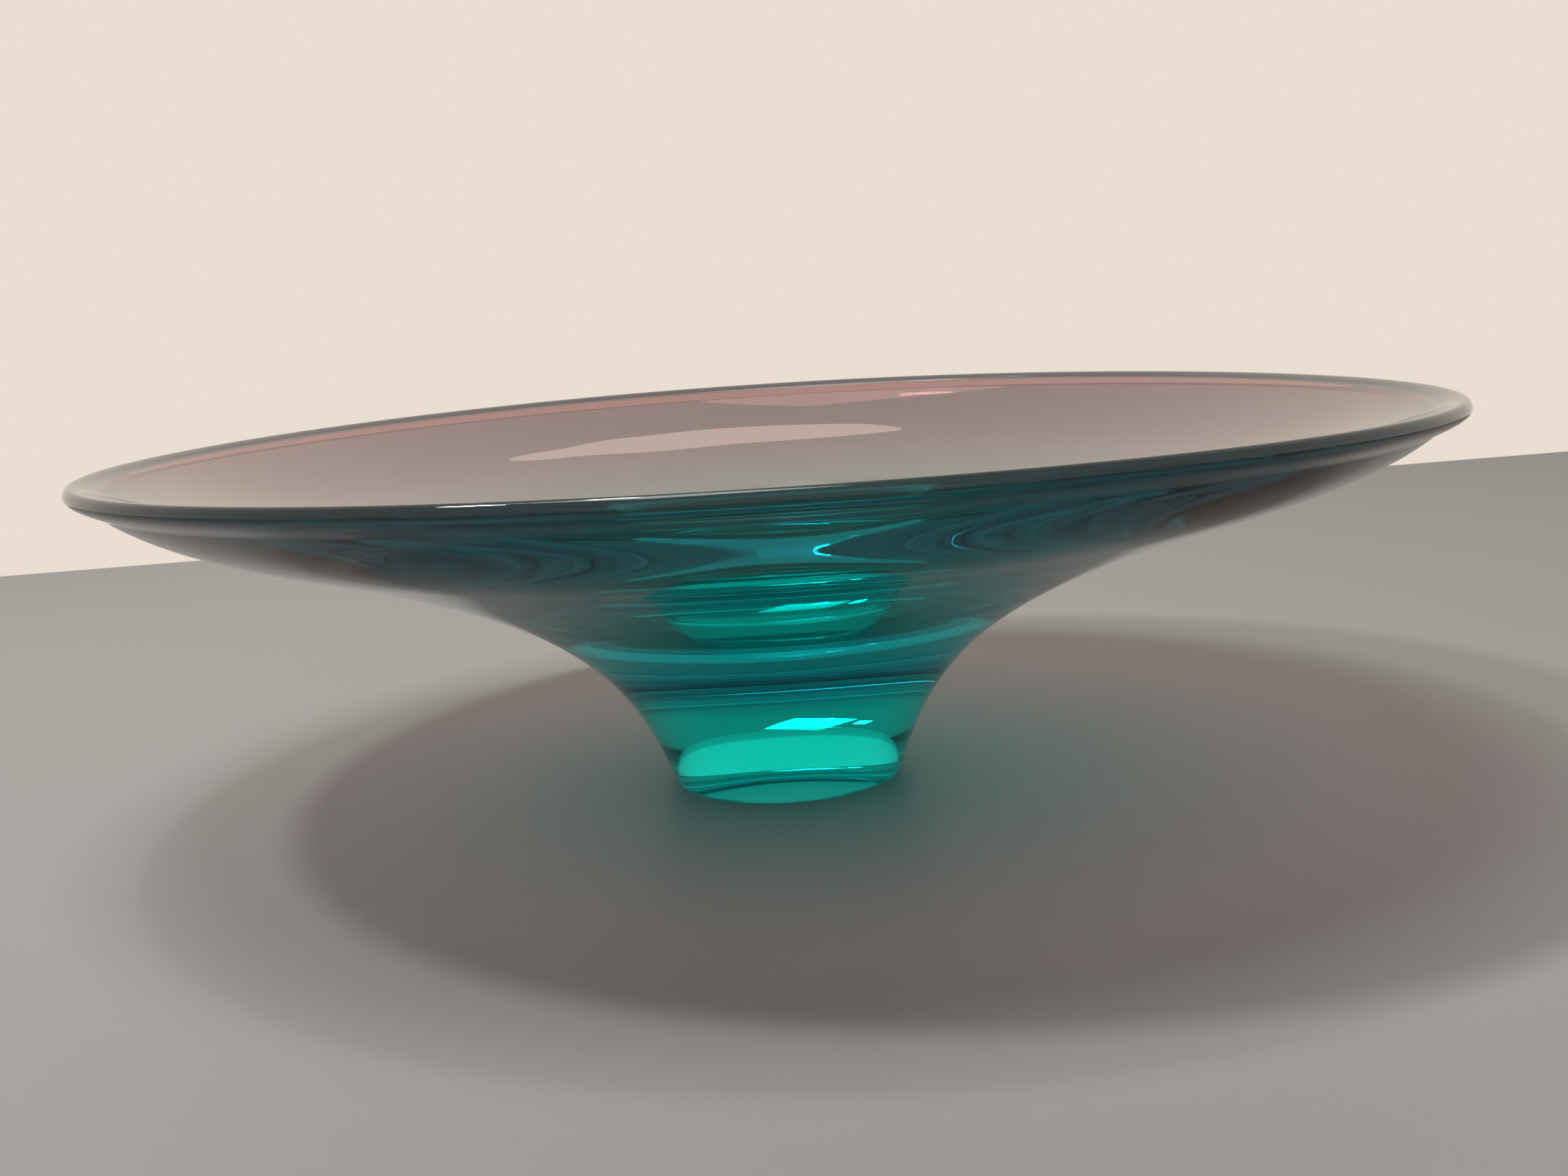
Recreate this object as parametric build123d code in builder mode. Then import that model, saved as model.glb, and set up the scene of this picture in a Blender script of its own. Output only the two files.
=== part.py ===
from build123d import *

import os
from math import cos, radians, sin

# A hand-made art glass centre bowl: a wide, shallow dish on a solid trumpet foot.
#
# The bowl is four pieces of glass, joined hot and then left as one object:
#
#     foot           solid teal gather, flared like a trumpet, ground hollow underneath
#     bowl_casing    thick teal casing that spreads from the neck of the foot to the lip
#     inner_lining   thin amethyst layer that covers the whole inside of the dish
#     lip_wrap       fire-polished bead of glass that runs round the edge of both layers
#
# Millimetres and degrees. The origin is the centre of the ground ring that the bowl stands on,
# and +Z is the axis of the bowl, upwards. Every profile below is drawn as (radius, height).

# ---------------------------------------------------------------- driving dimensions

# Overall
rim_radius = 178.0  # outermost point of the lip
bowl_height = 99.6  # table to the crest of the lip at its highest

# Foot
foot_radius = 31.7  # outer edge of the ground ring
foot_bevel = 0.6  # small bevel left by grinding the ring flat
foot_height = 36.9  # table to the joint between foot and casing
foot_slope = 71.9  # steepness of the foot's side just above the bevel
kick_radius = 28.0  # inner edge of the ground ring
kick_depth = 9.5  # hollow under the foot

# Neck, where the foot joins the casing
neck_radius = 54.0
neck_slope = 42.5

# Dish
dish_depth = 30.5  # crest of the lip down to the middle of the dish
dish_power = 2.75  # how flat the middle of the dish is before its side climbs
lining_thickness = 1.6  # amethyst layer, measured upright

# Wall under the dish, lining and casing together, measured upright
shelf_radius = 128.0  # where the underside is at its flattest
shelf_slope = 18.2
shelf_wall = 9.1
edge_slope = 39.8  # steepness of the underside where it meets the lip wrap
edge_wall = 5.2

# Lip wrap
wrap_width = 7.0  # joint with the casing out to the rim
lip_width = 5.8  # width of the rounded bead
lip_height = 4.8  # height of the rounded bead

# Fullness of the underside curves: length of the handle at each end
foot_pull = 19.2
foot_neck_pull = 11.5
casing_neck_pull = 13.1
shelf_inner_pull = 49.6
shelf_outer_pull = 12.2
edge_pull = 16.8
lip_pull = 1.8

# ---------------------------------------------------------------- sizes that follow

crest_radius = rim_radius - lip_width / 2
wrap_joint_radius = rim_radius - wrap_width


def dish_height(radius):
    """Height of the dish's surface above the table at this radius."""
    return bowl_height - dish_depth * (1 - (radius / crest_radius) ** dish_power)


def dish_slope(radius):
    """Steepness of the dish's surface at this radius, as rise over run."""
    return dish_depth * dish_power / crest_radius * (radius / crest_radius) ** (dish_power - 1)


def along(point, angle, distance):
    """The point that lies this far from another in the direction of an angle."""
    return (point[0] + distance * cos(radians(angle)), point[1] + distance * sin(radians(angle)))


foot_edge = (foot_radius, foot_bevel)
neck = (neck_radius, foot_height)
shelf = (shelf_radius, dish_height(shelf_radius) - shelf_wall)
under_edge = (wrap_joint_radius, dish_height(wrap_joint_radius) - edge_wall)
dish_edge = (wrap_joint_radius, dish_height(wrap_joint_radius))
lining_edge = (wrap_joint_radius, dish_edge[1] - lining_thickness)


def flare(start, start_slope, start_pull, end, end_slope, end_pull):
    """A smooth run of the underside that leaves and arrives at the stated slopes."""
    start_handle = along(start, start_slope, start_pull)
    end_handle = along(end, end_slope, -end_pull)
    return Bezier(start, start_handle, end_handle, end)


def dish_curve(drop):
    """The dish's surface from the axis to the lip wrap, lowered by drop."""
    stations = [wrap_joint_radius * step / 6 for step in range(7)]
    points = [(radius, dish_height(radius) - drop) for radius in stations]
    return Spline(points, tangents=((1, 0), (1, dish_slope(wrap_joint_radius))))


# ---------------------------------------------------------------- foot

with BuildPart() as foot:
    with BuildSketch(Plane.XZ):
        with BuildLine():
            TangentArc((0, kick_depth), (kick_radius, 0), tangent=(1, 0))
            Line((kick_radius, 0), (foot_radius - foot_bevel, 0))
            Line((foot_radius - foot_bevel, 0), foot_edge)
            flare(foot_edge, foot_slope, foot_pull, neck, neck_slope, foot_neck_pull)
            Polyline(neck, (0, foot_height), (0, kick_depth))
        make_face()
    revolve(axis=Axis.Z)
foot.part.label = "foot"

# ---------------------------------------------------------------- casing

with BuildPart() as bowl_casing:
    with BuildSketch(Plane.XZ):
        with BuildLine():
            Line((0, foot_height), neck)
            flare(neck, neck_slope, casing_neck_pull, shelf, shelf_slope, shelf_inner_pull)
            flare(shelf, shelf_slope, shelf_outer_pull, under_edge, edge_slope, edge_pull)
            Line(under_edge, lining_edge)
            dish_curve(lining_thickness)
            Line((0, dish_height(0) - lining_thickness), (0, foot_height))
        make_face()
    revolve(axis=Axis.Z)
bowl_casing.part.label = "bowl_casing"

# ---------------------------------------------------------------- lining

with BuildPart() as inner_lining:
    with BuildSketch(Plane.XZ):
        with BuildLine():
            dish_curve(lining_thickness)
            Line(lining_edge, dish_edge)
            dish_curve(0)
            Line((0, dish_height(0)), (0, dish_height(0) - lining_thickness))
        make_face()
    revolve(axis=Axis.Z)
inner_lining.part.label = "inner_lining"

# ---------------------------------------------------------------- lip wrap

lip_top = (crest_radius, bowl_height)
lip_middle = (crest_radius, bowl_height - lip_height / 2)
lip_bottom = (crest_radius, bowl_height - lip_height)

with BuildPart() as lip_wrap:
    with BuildSketch(Plane.XZ):
        with BuildLine():
            flare(under_edge, edge_slope, lip_pull, lip_bottom, 0, lip_pull)
            EllipticalCenterArc(lip_middle, lip_width / 2, lip_height / 2, -90, arc_size=180)
            Bezier(
                lip_top,
                along(lip_top, 180, lip_pull),
                (wrap_joint_radius + lip_pull, dish_edge[1] + lip_pull * dish_slope(wrap_joint_radius)),
                dish_edge,
            )
            Line(dish_edge, under_edge)
        make_face()
    revolve(axis=Axis.Z)
lip_wrap.part.label = "lip_wrap"

# ---------------------------------------------------------------- files

os.makedirs("parts", exist_ok=True)
export_step(foot.part, "parts/foot.step")
export_step(bowl_casing.part, "parts/bowl_casing.step")
export_step(inner_lining.part, "parts/inner_lining.step")
export_step(lip_wrap.part, "parts/lip_wrap.step")
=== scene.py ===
"""Looks of a hand-made art glass centre bowl: four fused pieces of clear glass on a CAD frame.

The bowl is turned about one upright axis. Each piece of glass is lathed from its own outline, and
the outlines meet at fused joints, where the glass runs on with no surface at all. Only the skin
that faces the air bends and mirrors light. Lengths are metres, angles are degrees unless a name
says otherwise, and every outline point is (radius, height).
"""

import logging
import math
from dataclasses import dataclass, field
from enum import Enum

import bmesh
import bpy
from mathutils import Matrix, Vector
from mathutils.geometry import interpolate_bezier


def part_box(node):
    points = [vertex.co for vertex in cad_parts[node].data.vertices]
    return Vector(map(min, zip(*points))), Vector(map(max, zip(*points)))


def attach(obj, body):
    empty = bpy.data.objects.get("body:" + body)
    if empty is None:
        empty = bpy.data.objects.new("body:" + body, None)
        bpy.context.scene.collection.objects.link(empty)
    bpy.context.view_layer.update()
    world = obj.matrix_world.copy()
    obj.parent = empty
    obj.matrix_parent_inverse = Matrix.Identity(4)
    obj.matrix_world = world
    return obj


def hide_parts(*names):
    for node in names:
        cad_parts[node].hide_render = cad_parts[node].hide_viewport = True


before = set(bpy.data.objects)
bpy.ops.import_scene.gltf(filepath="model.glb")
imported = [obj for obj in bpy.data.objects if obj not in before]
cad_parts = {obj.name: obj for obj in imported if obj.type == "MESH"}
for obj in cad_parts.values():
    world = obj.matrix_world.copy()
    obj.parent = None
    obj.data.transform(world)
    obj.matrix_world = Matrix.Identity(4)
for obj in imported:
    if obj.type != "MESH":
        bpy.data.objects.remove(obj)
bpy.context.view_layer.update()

LOG = logging.getLogger("art_glass_bowl")

MM = 0.001
Point = tuple[float, float]  # radius, height
Colour = tuple[float, float, float]  # red, green, blue
Place = tuple[float, float, float]  # x, y, z

# The colour sockets of a Mix node share their names with its other sockets, so they go by number.
MIX_FIRST, MIX_SECOND, MIX_RESULT = 6, 7, 2


# ---------------------------------------------------------------- shader expressions


class Wire:
    """A shader socket that takes part in arithmetic: each operator adds one Math node."""

    def __init__(self, tree: bpy.types.NodeTree, socket: bpy.types.NodeSocket) -> None:
        """Wraps one output socket.

        Args:
            tree: the node tree that holds the socket.
            socket: the output that this wire carries.
        """
        self.tree = tree
        self.socket = socket

    def _math(self, operation: str, first: "Wire | float", second: "Wire | float") -> "Wire":
        """Adds a Math node on two values.

        Args:
            operation: the Math node's operation.
            first: its first value.
            second: its second value.

        Returns:
            The node's output.
        """
        node = self.tree.nodes.new("ShaderNodeMath")
        node.operation = operation
        for slot, value in zip(node.inputs, (first, second)):
            if isinstance(value, Wire):
                self.tree.links.new(value.socket, slot)
            else:
                slot.default_value = value
        return Wire(self.tree, node.outputs[0])

    def __add__(self, other: "Wire | float") -> "Wire":
        """This value plus another."""
        return self._math("ADD", self, other)

    def __radd__(self, other: float) -> "Wire":
        """A number plus this value."""
        return self._math("ADD", other, self)

    def __sub__(self, other: "Wire | float") -> "Wire":
        """This value less another."""
        return self._math("SUBTRACT", self, other)

    def __rsub__(self, other: float) -> "Wire":
        """A number less this value."""
        return self._math("SUBTRACT", other, self)

    def __mul__(self, other: "Wire | float") -> "Wire":
        """This value times another."""
        return self._math("MULTIPLY", self, other)

    def __rmul__(self, other: float) -> "Wire":
        """A number times this value."""
        return self._math("MULTIPLY", other, self)


class Shading:
    """A shader tree in the making: one method adds any node and returns the output asked for."""

    def __init__(self, tree: bpy.types.NodeTree) -> None:
        """Takes a tree to work on.

        Args:
            tree: the node tree that the nodes go into.
        """
        self.tree = tree

    def node(
        self,
        kind: str,
        settings: dict[str, object] | None = None,
        inputs: dict[str | int, object] | None = None,
        output: str | int = 0,
    ) -> Wire:
        """Adds a node.

        Args:
            kind: the node's type, without its ShaderNode prefix.
            settings: the node's own properties, set before its inputs.
            inputs: values or wires for its sockets, by name or number.
            output: the output that is wanted, by name or number.

        Returns:
            That output as a wire.
        """
        node = self.tree.nodes.new("ShaderNode" + kind)
        for name, value in (settings or {}).items():
            setattr(node, name, value)
        for name, value in (inputs or {}).items():
            if isinstance(value, Wire):
                self.tree.links.new(value.socket, node.inputs[name])
            else:
                node.inputs[name].default_value = value
        return Wire(self.tree, node.outputs[output])

    def ramp(self, value: Wire, low: float, high: float) -> Wire:
        """A smooth step from 0 at low to 1 at high.

        Args:
            value: what is compared.
            low: where the step starts.
            high: where it ends.

        Returns:
            The step.
        """
        return self.node(
            "MapRange",
            {"interpolation_type": "SMOOTHSTEP"},
            {"Value": value, "From Min": low, "From Max": high, "To Min": 0.0, "To Max": 1.0},
        )

    def mix(self, factor: Wire, first: Wire | Colour, second: Colour, blend: str = "MIX") -> Wire:
        """Blends two colours.

        Args:
            factor: how much of the second colour there is, from 0 to 1.
            first: the colour at factor 0.
            second: the colour that is mixed or multiplied in.
            blend: the Mix node's blend type.

        Returns:
            The blended colour.
        """
        return self.node(
            "Mix",
            {"data_type": "RGBA", "blend_type": blend, "clamp_factor": True},
            {
                "Factor": factor,
                MIX_FIRST: first if isinstance(first, Wire) else (*first, 1.0),
                MIX_SECOND: (*second, 1.0),
            },
            output=MIX_RESULT,
        )


class Finish(Shading):
    """A material under construction."""

    def __init__(self, name: str) -> None:
        """Starts an empty material.

        Args:
            name: the material's name.
        """
        self.material = bpy.data.materials.new(name)
        self.material.use_nodes = True
        super().__init__(self.material.node_tree)
        self.tree.nodes.clear()

    def surface(self, shader: Wire, volume: Wire | None = None) -> bpy.types.Material:
        """Closes the material.

        Args:
            shader: the surface shader.
            volume: what fills the inside, if anything does.

        Returns:
            The finished material.
        """
        output = self.tree.nodes.new("ShaderNodeOutputMaterial")
        self.tree.links.new(shader.socket, output.inputs["Surface"])
        if volume is not None:
            self.tree.links.new(volume.socket, output.inputs["Volume"])
        return self.material


# ---------------------------------------------------------------- glass


class TintRun(Enum):
    """How the colour of a skin runs from its first tint to its second."""

    OUTWARDS = "from the axis to the rim"
    # The lip uses this run for painted shade, darker on skin that faces up.
    UPWARDS = "from skin that faces down to skin that faces up"


@dataclass(frozen=True)
class Noise:
    """A cloudy pattern. Scale counts its clouds to the metre; detail and grain break them up."""

    scale: float
    detail: float
    grain: float = 0.5

    def over(self, finish: Finish, place: Wire) -> Wire:
        """Lays the pattern over a piece.

        Args:
            finish: the material under construction.
            place: object coordinates.

        Returns:
            The pattern's value at each place, from 0 to 1.
        """
        return finish.node(
            "TexNoise",
            inputs={
                "Vector": place,
                "Scale": self.scale,
                "Detail": self.detail,
                "Roughness": self.grain,
            },
        )


@dataclass(frozen=True)
class GlassFinish:
    """Clear coloured glass, shaped and fire-polished by hand.

    The loss is what a metre of glass takes away from red, green and blue. The slant tint deepens
    the colour of skin that is seen at a slant. The glass is matt up to the matt height, where the
    foot is ground, and polished from the satin height up.
    """

    name: str
    first_tint: Colour
    second_tint: Colour
    loss_per_metre: Colour
    tint_run: TintRun = TintRun.OUTWARDS
    slant_tint: Colour = (1.0, 1.0, 1.0)
    slant_blend: float = 0.5
    slant_start: float = 0.45
    slant_end: float = 0.92
    body_radius: float = 60.0 * MM
    wing_radius: float = 130.0 * MM
    tilt_down: float = -0.4
    tilt_up: float = 0.6
    ior: float = 1.5
    polish: float = 0.0
    sway: Noise = Noise(scale=14.0, detail=1.0, grain=0.3)
    sway_height: float = 0.45 * MM
    smears: Noise = Noise(scale=26.0, detail=4.0, grain=0.6)
    smear_start: float = 0.60
    smear_end: float = 0.75
    smear_roughness: float = 0.02
    matt_height: float = 0.21 * MM
    satin_height: float = 0.35 * MM
    satin_roughness: float = 0.32
    grit: Noise = Noise(scale=1400.0, detail=2.0)
    grit_height: float = 0.02 * MM

    def depth_colour(self) -> tuple[float, float, float, float]:
        """The colour that, at the strongest loss as density, takes away the stated losses."""
        strongest = max(self.loss_per_metre)
        return (*(1.0 - loss / strongest for loss in self.loss_per_metre), 1.0)

    def run(self, finish: Finish, place: Wire) -> Wire:
        """How far the tint has run at each place.

        Args:
            finish: the material under construction.
            place: object coordinates.

        Returns:
            0 where the first tint is, 1 where the second is.
        """
        if self.tint_run is TintRun.UPWARDS:
            normal = finish.node("NewGeometry", output="Normal")
            tilt = finish.node("SeparateXYZ", inputs={"Vector": normal}, output="Z")
            return finish.ramp(tilt, self.tilt_down, self.tilt_up)
        flat = finish.node(
            "VectorMath", {"operation": "MULTIPLY"}, {0: place, 1: (1.0, 1.0, 0.0)}
        )
        radius = finish.node("VectorMath", {"operation": "LENGTH"}, {0: flat}, output="Value")
        return finish.ramp(radius, self.body_radius, self.wing_radius)

    def tint(self, finish: Finish, place: Wire) -> Wire:
        """The colour of the skin.

        Args:
            finish: the material under construction.
            place: object coordinates.

        Returns:
            The tint at each place and slant.
        """
        straight = finish.mix(self.run(finish, place), self.first_tint, self.second_tint)
        facing = finish.node("LayerWeight", inputs={"Blend": self.slant_blend}, output="Facing")
        slant = finish.ramp(facing, self.slant_start, self.slant_end)
        return finish.mix(slant, straight, self.slant_tint, blend="MULTIPLY")

    def satin(self, finish: Finish, place: Wire) -> Wire:
        """Where the glass is ground matt.

        Args:
            finish: the material under construction.
            place: object coordinates.

        Returns:
            1 on the ground ring, 0 elsewhere.
        """
        height = finish.node("SeparateXYZ", inputs={"Vector": place}, output="Z")
        return 1.0 - finish.ramp(height, self.matt_height, self.satin_height)

    def roughness(self, finish: Finish, place: Wire, satin: Wire) -> Wire:
        """How rough the skin is: polished, with faint smears, and matt where it is ground.

        Args:
            finish: the material under construction.
            place: object coordinates.
            satin: where the glass is ground matt.

        Returns:
            The roughness at each place.
        """
        smeared = finish.ramp(self.smears.over(finish, place), self.smear_start, self.smear_end)
        return self.polish + smeared * self.smear_roughness + satin * self.satin_roughness

    def relief(self, finish: Finish, place: Wire, satin: Wire) -> Wire:
        """The slow sway that handwork leaves in the skin, and the grit of the ground ring.

        Args:
            finish: the material under construction.
            place: object coordinates.
            satin: where the glass is ground matt.

        Returns:
            The skin's normal.
        """
        swayed = finish.node(
            "Bump",
            inputs={"Height": self.sway.over(finish, place), "Distance": self.sway_height},
        )
        grit = self.grit.over(finish, place) * satin
        return finish.node(
            "Bump", inputs={"Height": grit, "Distance": self.grit_height, "Normal": swayed}
        )

    def build(self) -> bpy.types.Material:
        """Makes the glass.

        Returns:
            The material, with its skin and its depth.
        """
        finish = Finish(self.name)
        place = finish.node("TexCoord", output="Object")
        satin = self.satin(finish, place)
        joint = finish.node("Attribute", {"attribute_name": "fused"}, output="Fac")
        skin = finish.node(
            "BsdfPrincipled",
            inputs={
                "Base Color": self.tint(finish, place),
                "Roughness": self.roughness(finish, place, satin),
                "IOR": self.ior,
                "Transmission Weight": 1.0,
                "Normal": self.relief(finish, place, satin),
                "Alpha": 1.0 - joint,
            },
        )
        depth = finish.node(
            "VolumeAbsorption",
            inputs={"Color": self.depth_colour(), "Density": max(self.loss_per_metre)},
        )
        return finish.surface(skin, depth)


# ---------------------------------------------------------------- lathe


@dataclass(frozen=True)
class Run:
    """One stretch of an outline. fused marks glass that meets glass, where there is no surface."""

    points: list[Point]
    fused: bool = False


def handle(point: Point, angle: float, pull: float) -> Vector:
    """The handle of a curve that leaves a point at an angle, this far from it."""
    turn = math.radians(angle)
    return Vector((point[0] + pull * math.cos(turn), point[1] + pull * math.sin(turn)))


def bezier(
    start: Point,
    start_angle: float,
    start_pull: float,
    end: Point,
    end_angle: float,
    end_pull: float,
    steps: int,
) -> list[Point]:
    """A smooth run that leaves and arrives at stated slopes.

    Args:
        start: its first point.
        start_angle: the slope that it leaves at.
        start_pull: the length of the first handle.
        end: its last point.
        end_angle: the slope that it arrives at.
        end_pull: the length of the last handle.
        steps: how many steps it is divided into.

    Returns:
        Its points.
    """
    knots = interpolate_bezier(
        Vector(start),
        handle(start, start_angle, start_pull),
        handle(end, end_angle, -end_pull),
        Vector(end),
        steps + 1,
    )
    return [(knot.x, knot.y) for knot in knots]


def inset(points: list[Point], rise: float) -> list[Point]:
    """Moves a fused run up or down by a hair, but leaves its outer end in place.

    Args:
        points: the run, from the axis outwards.
        rise: how far it moves up, or down if negative.

    Returns:
        The moved run, with its outer end still on the joint's edge.
    """
    return [(radius, height + rise) for radius, height in points[:-1]] + [points[-1]]


@dataclass(frozen=True)
class Saddle:
    """The slow sway of a rim that sagged a little on two sides before the glass set."""

    sag: float = 2.2 * MM
    start_radius: float = 90.0 * MM
    full_radius: float = 178.0 * MM

    def drop(self, place: Vector) -> float:
        """How far the glass has sagged at a place.

        Args:
            place: where, before the sag.

        Returns:
            The drop, in metres.
        """
        radius = math.hypot(place.x, place.y)
        if radius <= self.start_radius:
            return 0.0
        reach = (radius - self.start_radius) / (self.full_radius - self.start_radius)
        return self.sag * reach**2 * (place.x / radius) ** 2


@dataclass(frozen=True)
class Lathe:
    """Turns outlines into closed, smooth meshes about the upright axis."""

    sectors: int = 12
    steps_per_sector: int = 16
    sharp_angle: float = math.radians(25.0)
    weld_distance: float = 0.002 * MM
    sliver_length: float = 0.0001 * MM
    saddle: Saddle = Saddle()

    def turn(self, name: str, runs: list[Run], material: bpy.types.Material) -> bpy.types.Object:
        """Spins every run through one sector, repeats it round the axis and welds the whole.

        Args:
            name: the piece's name.
            runs: the outline, run after run, each starting where the last one ended.
            material: the piece's glass.

        Returns:
            The piece, standing where it belongs.
        """
        mesh = bmesh.new()
        fused = mesh.faces.layers.float.new("fused")
        self.spin(mesh, runs, fused)
        bmesh.ops.remove_doubles(mesh, verts=mesh.verts, dist=self.weld_distance)
        bmesh.ops.dissolve_degenerate(mesh, edges=mesh.edges, dist=self.sliver_length)
        bmesh.ops.recalc_face_normals(mesh, faces=mesh.faces)
        self.smooth(mesh, fused)
        for vert in mesh.verts:
            vert.co.z -= self.saddle.drop(vert.co)
        data = bpy.data.meshes.new(name)
        mesh.to_mesh(data)
        mesh.free()
        data.materials.append(material)
        piece = bpy.data.objects.new(name, data)
        bpy.context.scene.collection.objects.link(piece)
        return piece

    def spin(
        self, mesh: bmesh.types.BMesh, runs: list[Run], fused: bmesh.types.BMLayerItem
    ) -> None:
        """Spins the outline round the whole axis.

        Args:
            mesh: the mesh that the faces go into.
            runs: the outline, run after run.
            fused: the layer that marks fused faces.
        """
        sector = math.tau / self.sectors
        axis = {"cent": (0, 0, 0), "axis": (0, 0, 1), "dvec": (0, 0, 0)}
        for run in runs:
            known = set(mesh.faces)
            verts = [mesh.verts.new((radius, 0.0, height)) for radius, height in run.points]
            edges = [mesh.edges.new(pair) for pair in zip(verts, verts[1:])]
            bmesh.ops.spin(
                mesh, geom=verts + edges, angle=sector, steps=self.steps_per_sector, **axis
            )
            for face in set(mesh.faces) - known:
                face[fused] = float(run.fused)
        bmesh.ops.spin(
            mesh,
            geom=mesh.verts[:] + mesh.edges[:] + mesh.faces[:],
            angle=math.tau - sector,
            steps=self.sectors - 1,
            use_duplicate=True,
            **axis,
        )

    def smooth(self, mesh: bmesh.types.BMesh, fused: bmesh.types.BMLayerItem) -> None:
        """Shades the skin smooth, but keeps sharp bends and the edges of joints.

        Args:
            mesh: the welded mesh.
            fused: the layer that marks fused faces.
        """
        for face in mesh.faces:
            face.smooth = True
        for edge in mesh.edges:
            faces = edge.link_faces
            if len(faces) == 2:
                alike = faces[0][fused] == faces[1][fused]
                edge.smooth = alike and edge.calc_face_angle() < self.sharp_angle


# ---------------------------------------------------------------- the bowl


@dataclass
class BowlShape:
    """The outline of the whole bowl. What the frame holds is read from it; the rest is named."""

    foot_radius: float = 31.7 * MM
    foot_bevel: float = 0.6 * MM
    foot_slope: float = 71.9
    kick_radius: float = 28.0 * MM
    kick_depth: float = 9.5 * MM
    neck_slope: float = 42.5
    dish_depth: float = 30.5 * MM
    dish_power: float = 2.75
    shelf_radius: float = 128.0 * MM
    shelf_slope: float = 18.2
    shelf_wall: float = 9.1 * MM
    edge_slope: float = 39.8
    lip_width: float = 5.8 * MM
    crest_inset: float = 1.7 * MM
    nose_drop: float = 2.1 * MM
    nose_pull: float = 2.0 * MM
    turn_pull: float = 1.0 * MM
    foot_pull: float = 19.2 * MM
    foot_neck_pull: float = 11.5 * MM
    casing_neck_pull: float = 13.1 * MM
    shelf_inner_pull: float = 49.6 * MM
    shelf_outer_pull: float = 12.2 * MM
    edge_pull: float = 16.8 * MM
    lip_pull: float = 1.8 * MM
    weld_gap: float = 0.03 * MM
    joint_steps: int = 12
    neck: Point = field(init=False)
    under_edge: Point = field(init=False)
    lining_edge: Point = field(init=False)
    dish_edge: Point = field(init=False)
    rim_radius: float = field(init=False)
    bowl_height: float = field(init=False)
    lining_drop: float = field(init=False)

    def __post_init__(self) -> None:
        """Reads the joints and the overall size from the frame's nodes."""
        foot, casing, lining, lip = (
            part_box(node)[1] for node in ("foot", "bowl_casing", "inner_lining", "lip_wrap")
        )
        self.neck = (foot.x, foot.z)
        self.rim_radius = lip.x
        self.bowl_height = lip.z
        self.lining_drop = lining.z - casing.z
        self.dish_edge = (lining.x, lining.z)
        self.lining_edge = (casing.x, casing.z)
        self.under_edge = (casing.x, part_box("lip_wrap")[0].z)

    @property
    def crest_radius(self) -> float:
        """Radius of the lip's highest ring."""
        return self.rim_radius - self.lip_width / 2

    def dish_height(self, radius: float) -> float:
        """Height of the dish's surface at a radius."""
        climb = (radius / self.crest_radius) ** self.dish_power
        return self.bowl_height - self.dish_depth * (1 - climb)

    def dish_angle(self, radius: float) -> float:
        """Slope of the dish's surface at a radius."""
        rate = self.dish_depth * self.dish_power / self.crest_radius
        return math.degrees(math.atan(rate * (radius / self.crest_radius) ** (self.dish_power - 1)))

    def dish(self, drop: float, steps: int) -> list[Point]:
        """The dish's surface from its middle to the lip, lowered by drop.

        Args:
            drop: how far below the surface the run lies.
            steps: how many steps it is divided into.

        Returns:
            Its points.
        """
        edge = self.dish_edge[0]
        radii = [edge * step / steps for step in range(steps + 1)]
        return [(radius, self.dish_height(radius) - drop) for radius in radii]

    def kick(self, steps: int) -> list[Point]:
        """The round hollow under the foot, from its middle to the ground ring.

        Args:
            steps: how many steps it is divided into.

        Returns:
            Its points.
        """
        bow = (self.kick_radius**2 + self.kick_depth**2) / (2 * self.kick_depth)
        sweep = math.asin(self.kick_radius / bow)
        turns = [sweep * step / steps for step in range(steps + 1)]
        return [
            (bow * math.sin(turn), self.kick_depth - bow * (1 - math.cos(turn))) for turn in turns
        ]

    def neck_joint(self, rise: float) -> list[Point]:
        """The flat disc where foot and casing are fused.

        Args:
            rise: how far it lies above the joint, or below if negative.

        Returns:
            Its points, from the axis outwards.
        """
        radius, height = self.neck
        steps = self.joint_steps
        return inset([(radius * step / steps, height) for step in range(steps + 1)], rise)


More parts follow.
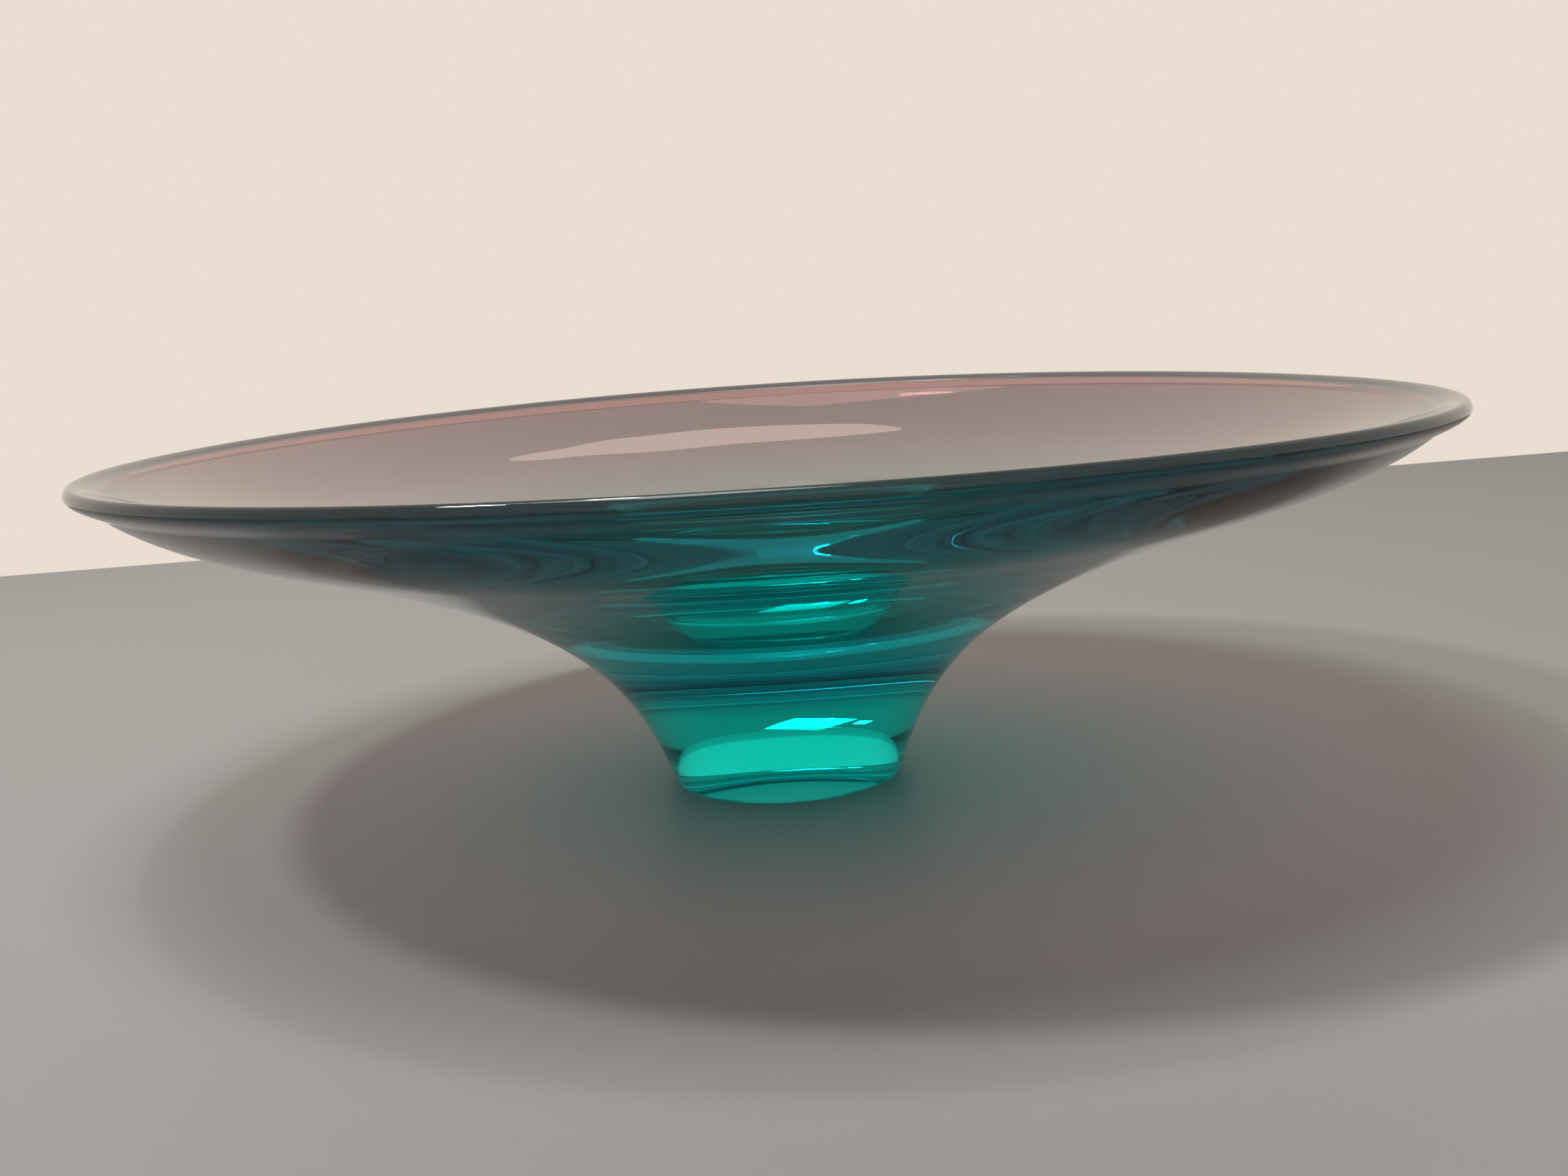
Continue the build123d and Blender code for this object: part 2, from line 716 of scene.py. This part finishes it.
@dataclass
class Bowl:
    """The glass itself: foot, casing, lining and lip."""

    shape: BowlShape
    lathe: Lathe = Lathe()
    kick_steps: int = 40
    foot_steps: int = 110
    under_steps: int = 120
    wing_steps: int = 60
    layer_steps: int = 60
    dish_steps: int = 150
    lip_under_steps: int = 40
    lip_turn_steps: int = 20
    lip_top_steps: int = 16
    teal: GlassFinish = GlassFinish(
        name="teal_glass",
        first_tint=(0.34, 0.98, 0.94),
        second_tint=(0.34, 0.98, 0.94),
        loss_per_metre=(62.0, 3.2, 4.4),
        slant_tint=(0.12, 0.45, 0.46),
    )
    deep_teal: GlassFinish = GlassFinish(
        name="deep_teal_glass",
        first_tint=(0.30, 0.92, 0.90),
        second_tint=(0.78, 0.96, 0.97),
        loss_per_metre=(37.0, 7.0, 6.2),
        slant_tint=(0.05, 0.85, 0.90),
    )
    amethyst: GlassFinish = GlassFinish(
        name="amethyst_glass",
        first_tint=(0.80, 0.28, 0.27),
        second_tint=(0.80, 0.28, 0.27),
        loss_per_metre=(8.0, 9.0, 7.0),
    )
    # Painted shade: the lip's skin is tinted darker where it faces up than where it faces down.
    smoke: GlassFinish = GlassFinish(
        name="smoke_glass",
        first_tint=(0.56, 0.80, 0.82),
        second_tint=(0.31, 0.24, 0.235),
        loss_per_metre=(30.0, 18.0, 15.0),
        tint_run=TintRun.UPWARDS,
        slant_tint=(0.3, 0.6, 0.62),
    )

    def foot(self) -> bpy.types.Object:
        """The solid trumpet foot with its hollow base.

        Returns:
            The piece.
        """
        s = self.shape
        bevel = [(s.foot_radius - s.foot_bevel, 0.0), (s.foot_radius, s.foot_bevel)]
        side = bezier(
            bevel[-1], s.foot_slope, s.foot_pull,
            s.neck, s.neck_slope, s.foot_neck_pull,
            self.foot_steps,
        )
        runs = [
            Run(s.kick(self.kick_steps) + bevel),
            Run(side),
            Run(s.neck_joint(-s.weld_gap)[::-1], fused=True),
        ]
        return self.lathe.turn("foot_gather", runs, self.teal.build())

    def casing(self) -> bpy.types.Object:
        """The thick teal casing under the dish.

        Returns:
            The piece.
        """
        s = self.shape
        shelf = (s.shelf_radius, s.dish_height(s.shelf_radius) - s.shelf_wall)
        under = bezier(
            s.neck, s.neck_slope, s.casing_neck_pull,
            shelf, s.shelf_slope, s.shelf_inner_pull,
            self.under_steps,
        )
        wing = bezier(
            shelf, s.shelf_slope, s.shelf_outer_pull,
            s.under_edge, s.edge_slope, s.edge_pull,
            self.wing_steps,
        )
        edge = [
            s.under_edge,
            (s.under_edge[0] - s.weld_gap, s.under_edge[1] + s.weld_gap),
            (s.lining_edge[0] - s.weld_gap, s.lining_edge[1] - s.weld_gap),
        ]
        layer = s.dish(s.lining_drop, self.layer_steps)
        top = [(radius, height - s.weld_gap) for radius, height in layer[:-1]]
        runs = [
            Run(s.neck_joint(s.weld_gap), fused=True),
            Run(under + wing[1:]),
            Run(edge + top[::-1], fused=True),
        ]
        return self.lathe.turn("teal_casing", runs, self.deep_teal.build())

    def lining(self) -> bpy.types.Object:
        """The thin amethyst lining of the dish.

        Returns:
            The piece.
        """
        s = self.shape
        edge = [
            (s.lining_edge[0] - s.weld_gap, s.lining_edge[1]),
            (s.dish_edge[0] - s.weld_gap, s.dish_edge[1] - s.weld_gap),
            s.dish_edge,
        ]
        under = s.dish(s.lining_drop, self.layer_steps)[:-1]
        runs = [Run(under + edge, fused=True), Run(s.dish(0.0, self.dish_steps)[::-1])]
        return self.lathe.turn("amethyst_lining", runs, self.amethyst.build())

    def lip(self) -> bpy.types.Object:
        """The lip: it carries the dish on to its edge, turns over and runs back under.

        Returns:
            The piece.
        """
        s = self.shape
        nose = (s.rim_radius, s.bowl_height - s.nose_drop)
        crest = (s.rim_radius - s.crest_inset, s.bowl_height)
        below = bezier(
            s.under_edge, s.edge_slope, s.lip_pull,
            nose, 90.0, s.nose_pull,
            self.lip_under_steps,
        )
        turn = bezier(nose, 90.0, s.turn_pull, crest, 180.0, s.turn_pull, self.lip_turn_steps)
        above = bezier(
            crest, 180.0, s.lip_pull,
            s.dish_edge, 180.0 + s.dish_angle(s.dish_edge[0]), s.lip_pull,
            self.lip_top_steps,
        )
        joint = [
            s.dish_edge,
            (s.dish_edge[0] + s.weld_gap, s.dish_edge[1] - s.weld_gap),
            (s.under_edge[0] + s.weld_gap, s.under_edge[1] + s.weld_gap),
            s.under_edge,
        ]
        runs = [Run(below + turn[1:] + above[1:]), Run(joint, fused=True)]
        return self.lathe.turn("lip_bead", runs, self.smoke.build())

    def build(self) -> None:
        """Makes the four pieces and seats each on the frame."""
        rows = (
            (self.foot, "foot", "foot_glass"),
            (self.casing, "bowl_casing", "casing_glass"),
            (self.lining, "inner_lining", "lining_glass"),
            (self.lip, "lip_wrap", "lip_glass"),
        )
        for make, node, slot in rows:
            piece = make()
            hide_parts(node)
            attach(piece, "root")
            LOG.info("%s stands for %s: %d faces", piece.name, node, len(piece.data.polygons))


# ---------------------------------------------------------------- studio


@dataclass(frozen=True)
class Lamp:
    """One soft square lamp that faces the bowl. Its size is the side of the square."""

    name: str
    place: Place
    size: float
    watts: float

    def hang(self) -> None:
        """Hangs the lamp in its place."""
        data = bpy.data.lights.new(self.name, "AREA")
        data.size = self.size
        data.energy = self.watts
        lamp = bpy.data.objects.new(self.name, data)
        bpy.context.scene.collection.objects.link(lamp)
        lamp.location = self.place
        lamp.rotation_mode = "QUATERNION"
        lamp.rotation_quaternion = (-Vector(self.place)).to_track_quat("-Z", "Y")


@dataclass
class Studio:
    """A plain pale table top before a plain pale wall, plain soft light and the camera."""

    floor_half_width: float = 0.95
    floor_half_depth: float = 0.567
    floor_turn: float = 7.2
    floor_drop: float = 0.05 * MM
    floor_colour: Colour = (0.43, 0.41, 0.39)
    floor_roughness: float = 0.55
    wall_colour: Colour = (0.82, 0.73, 0.64)
    ambient_colour: Colour = (0.13, 0.125, 0.12)
    lamps: tuple[Lamp, ...] = (
        Lamp("soft_lamp", (-0.20, -0.10, 1.40), 0.60, 7.0),
        Lamp("side_lamp", (-0.70, -0.15, 1.30), 0.15, 5.5),
        Lamp("spark_lamp", (-0.30, 0.10, 1.30), 0.10, 1.5),
    )
    camera_distance: float = 463.3 * MM
    camera_height: float = 131.35 * MM
    camera_aside: float = 1.85 * MM
    camera_pitch: float = 9.72
    camera_roll: float = -3.65
    camera_nearest: float = 0.01
    sensor_width: float = 36.0
    lens: float = 39.06
    glass_bounces: int = 32
    gloss_bounces: int = 16
    clear_bounces: int = 64

    def floor(self) -> None:
        """Lays the table top that the bowl stands on."""
        finish = Finish("pale_floor")
        skin = finish.node(
            "BsdfPrincipled",
            inputs={"Base Color": (*self.floor_colour, 1.0), "Roughness": self.floor_roughness},
        )
        mesh = bmesh.new()
        bmesh.ops.create_grid(mesh, x_segments=1, y_segments=1, size=1.0)
        half = (self.floor_half_width, self.floor_half_depth, 1.0)
        bmesh.ops.scale(mesh, vec=half, verts=mesh.verts)
        turn = Matrix.Rotation(math.radians(self.floor_turn), 3, "Z")
        bmesh.ops.rotate(mesh, matrix=turn, verts=mesh.verts)
        bmesh.ops.translate(mesh, vec=(0.0, 0.0, -self.floor_drop), verts=mesh.verts)
        data = bpy.data.meshes.new("floor")
        mesh.to_mesh(data)
        mesh.free()
        data.materials.append(finish.surface(skin))
        plane = bpy.data.objects.new("floor", data)
        bpy.context.scene.collection.objects.link(plane)

    def world(self) -> None:
        """Shows a pale wall to the eye and to the glass, and a plainer light to everything else."""
        world = bpy.data.worlds.new("studio")
        bpy.context.scene.world = world
        world.use_nodes = True
        shading = Shading(world.node_tree)
        seen = (
            shading.node("LightPath", output="Is Camera Ray")
            + shading.node("LightPath", output="Is Glossy Ray")
            + shading.node("LightPath", output="Is Transmission Ray")
        ) * (1.0 - shading.node("LightPath", output="Diffuse Depth"))
        colour = shading.mix(seen, self.ambient_colour, self.wall_colour)
        background = world.node_tree.nodes["Background"]
        world.node_tree.links.new(colour.socket, background.inputs["Color"])

    def camera(self) -> None:
        """Sets the camera at the bowl's usual viewing angle."""
        data = bpy.data.cameras.new("camera")
        data.sensor_width = self.sensor_width
        data.lens = self.lens
        data.clip_start = self.camera_nearest
        camera = bpy.data.objects.new("camera", data)
        bpy.context.scene.collection.objects.link(camera)
        look = Matrix.Rotation(math.radians(90.0 - self.camera_pitch), 4, "X")
        roll = Matrix.Rotation(math.radians(self.camera_roll), 4, "Z")
        place = Matrix.Translation((self.camera_aside, -self.camera_distance, self.camera_height))
        camera.matrix_world = place @ look @ roll
        bpy.context.scene.camera = camera

    def light_paths(self) -> None:
        """Lets light cross the many walls of the glass."""
        cycles = bpy.context.scene.cycles
        cycles.max_bounces = self.glass_bounces
        cycles.transmission_bounces = self.glass_bounces
        cycles.glossy_bounces = self.gloss_bounces
        cycles.transparent_max_bounces = self.clear_bounces

    def build(self) -> None:
        """Makes floor, world, lamps and camera."""
        self.floor()
        self.world()
        for lamp in self.lamps:
            lamp.hang()
        self.camera()
        self.light_paths()
        bpy.context.scene.view_settings.view_transform = "Standard"


def main() -> None:
    """Builds the studio and the bowl."""
    logging.basicConfig(level=logging.INFO)
    Studio().build()
    Bowl(BowlShape()).build()


if __name__ == "__main__":
    main()
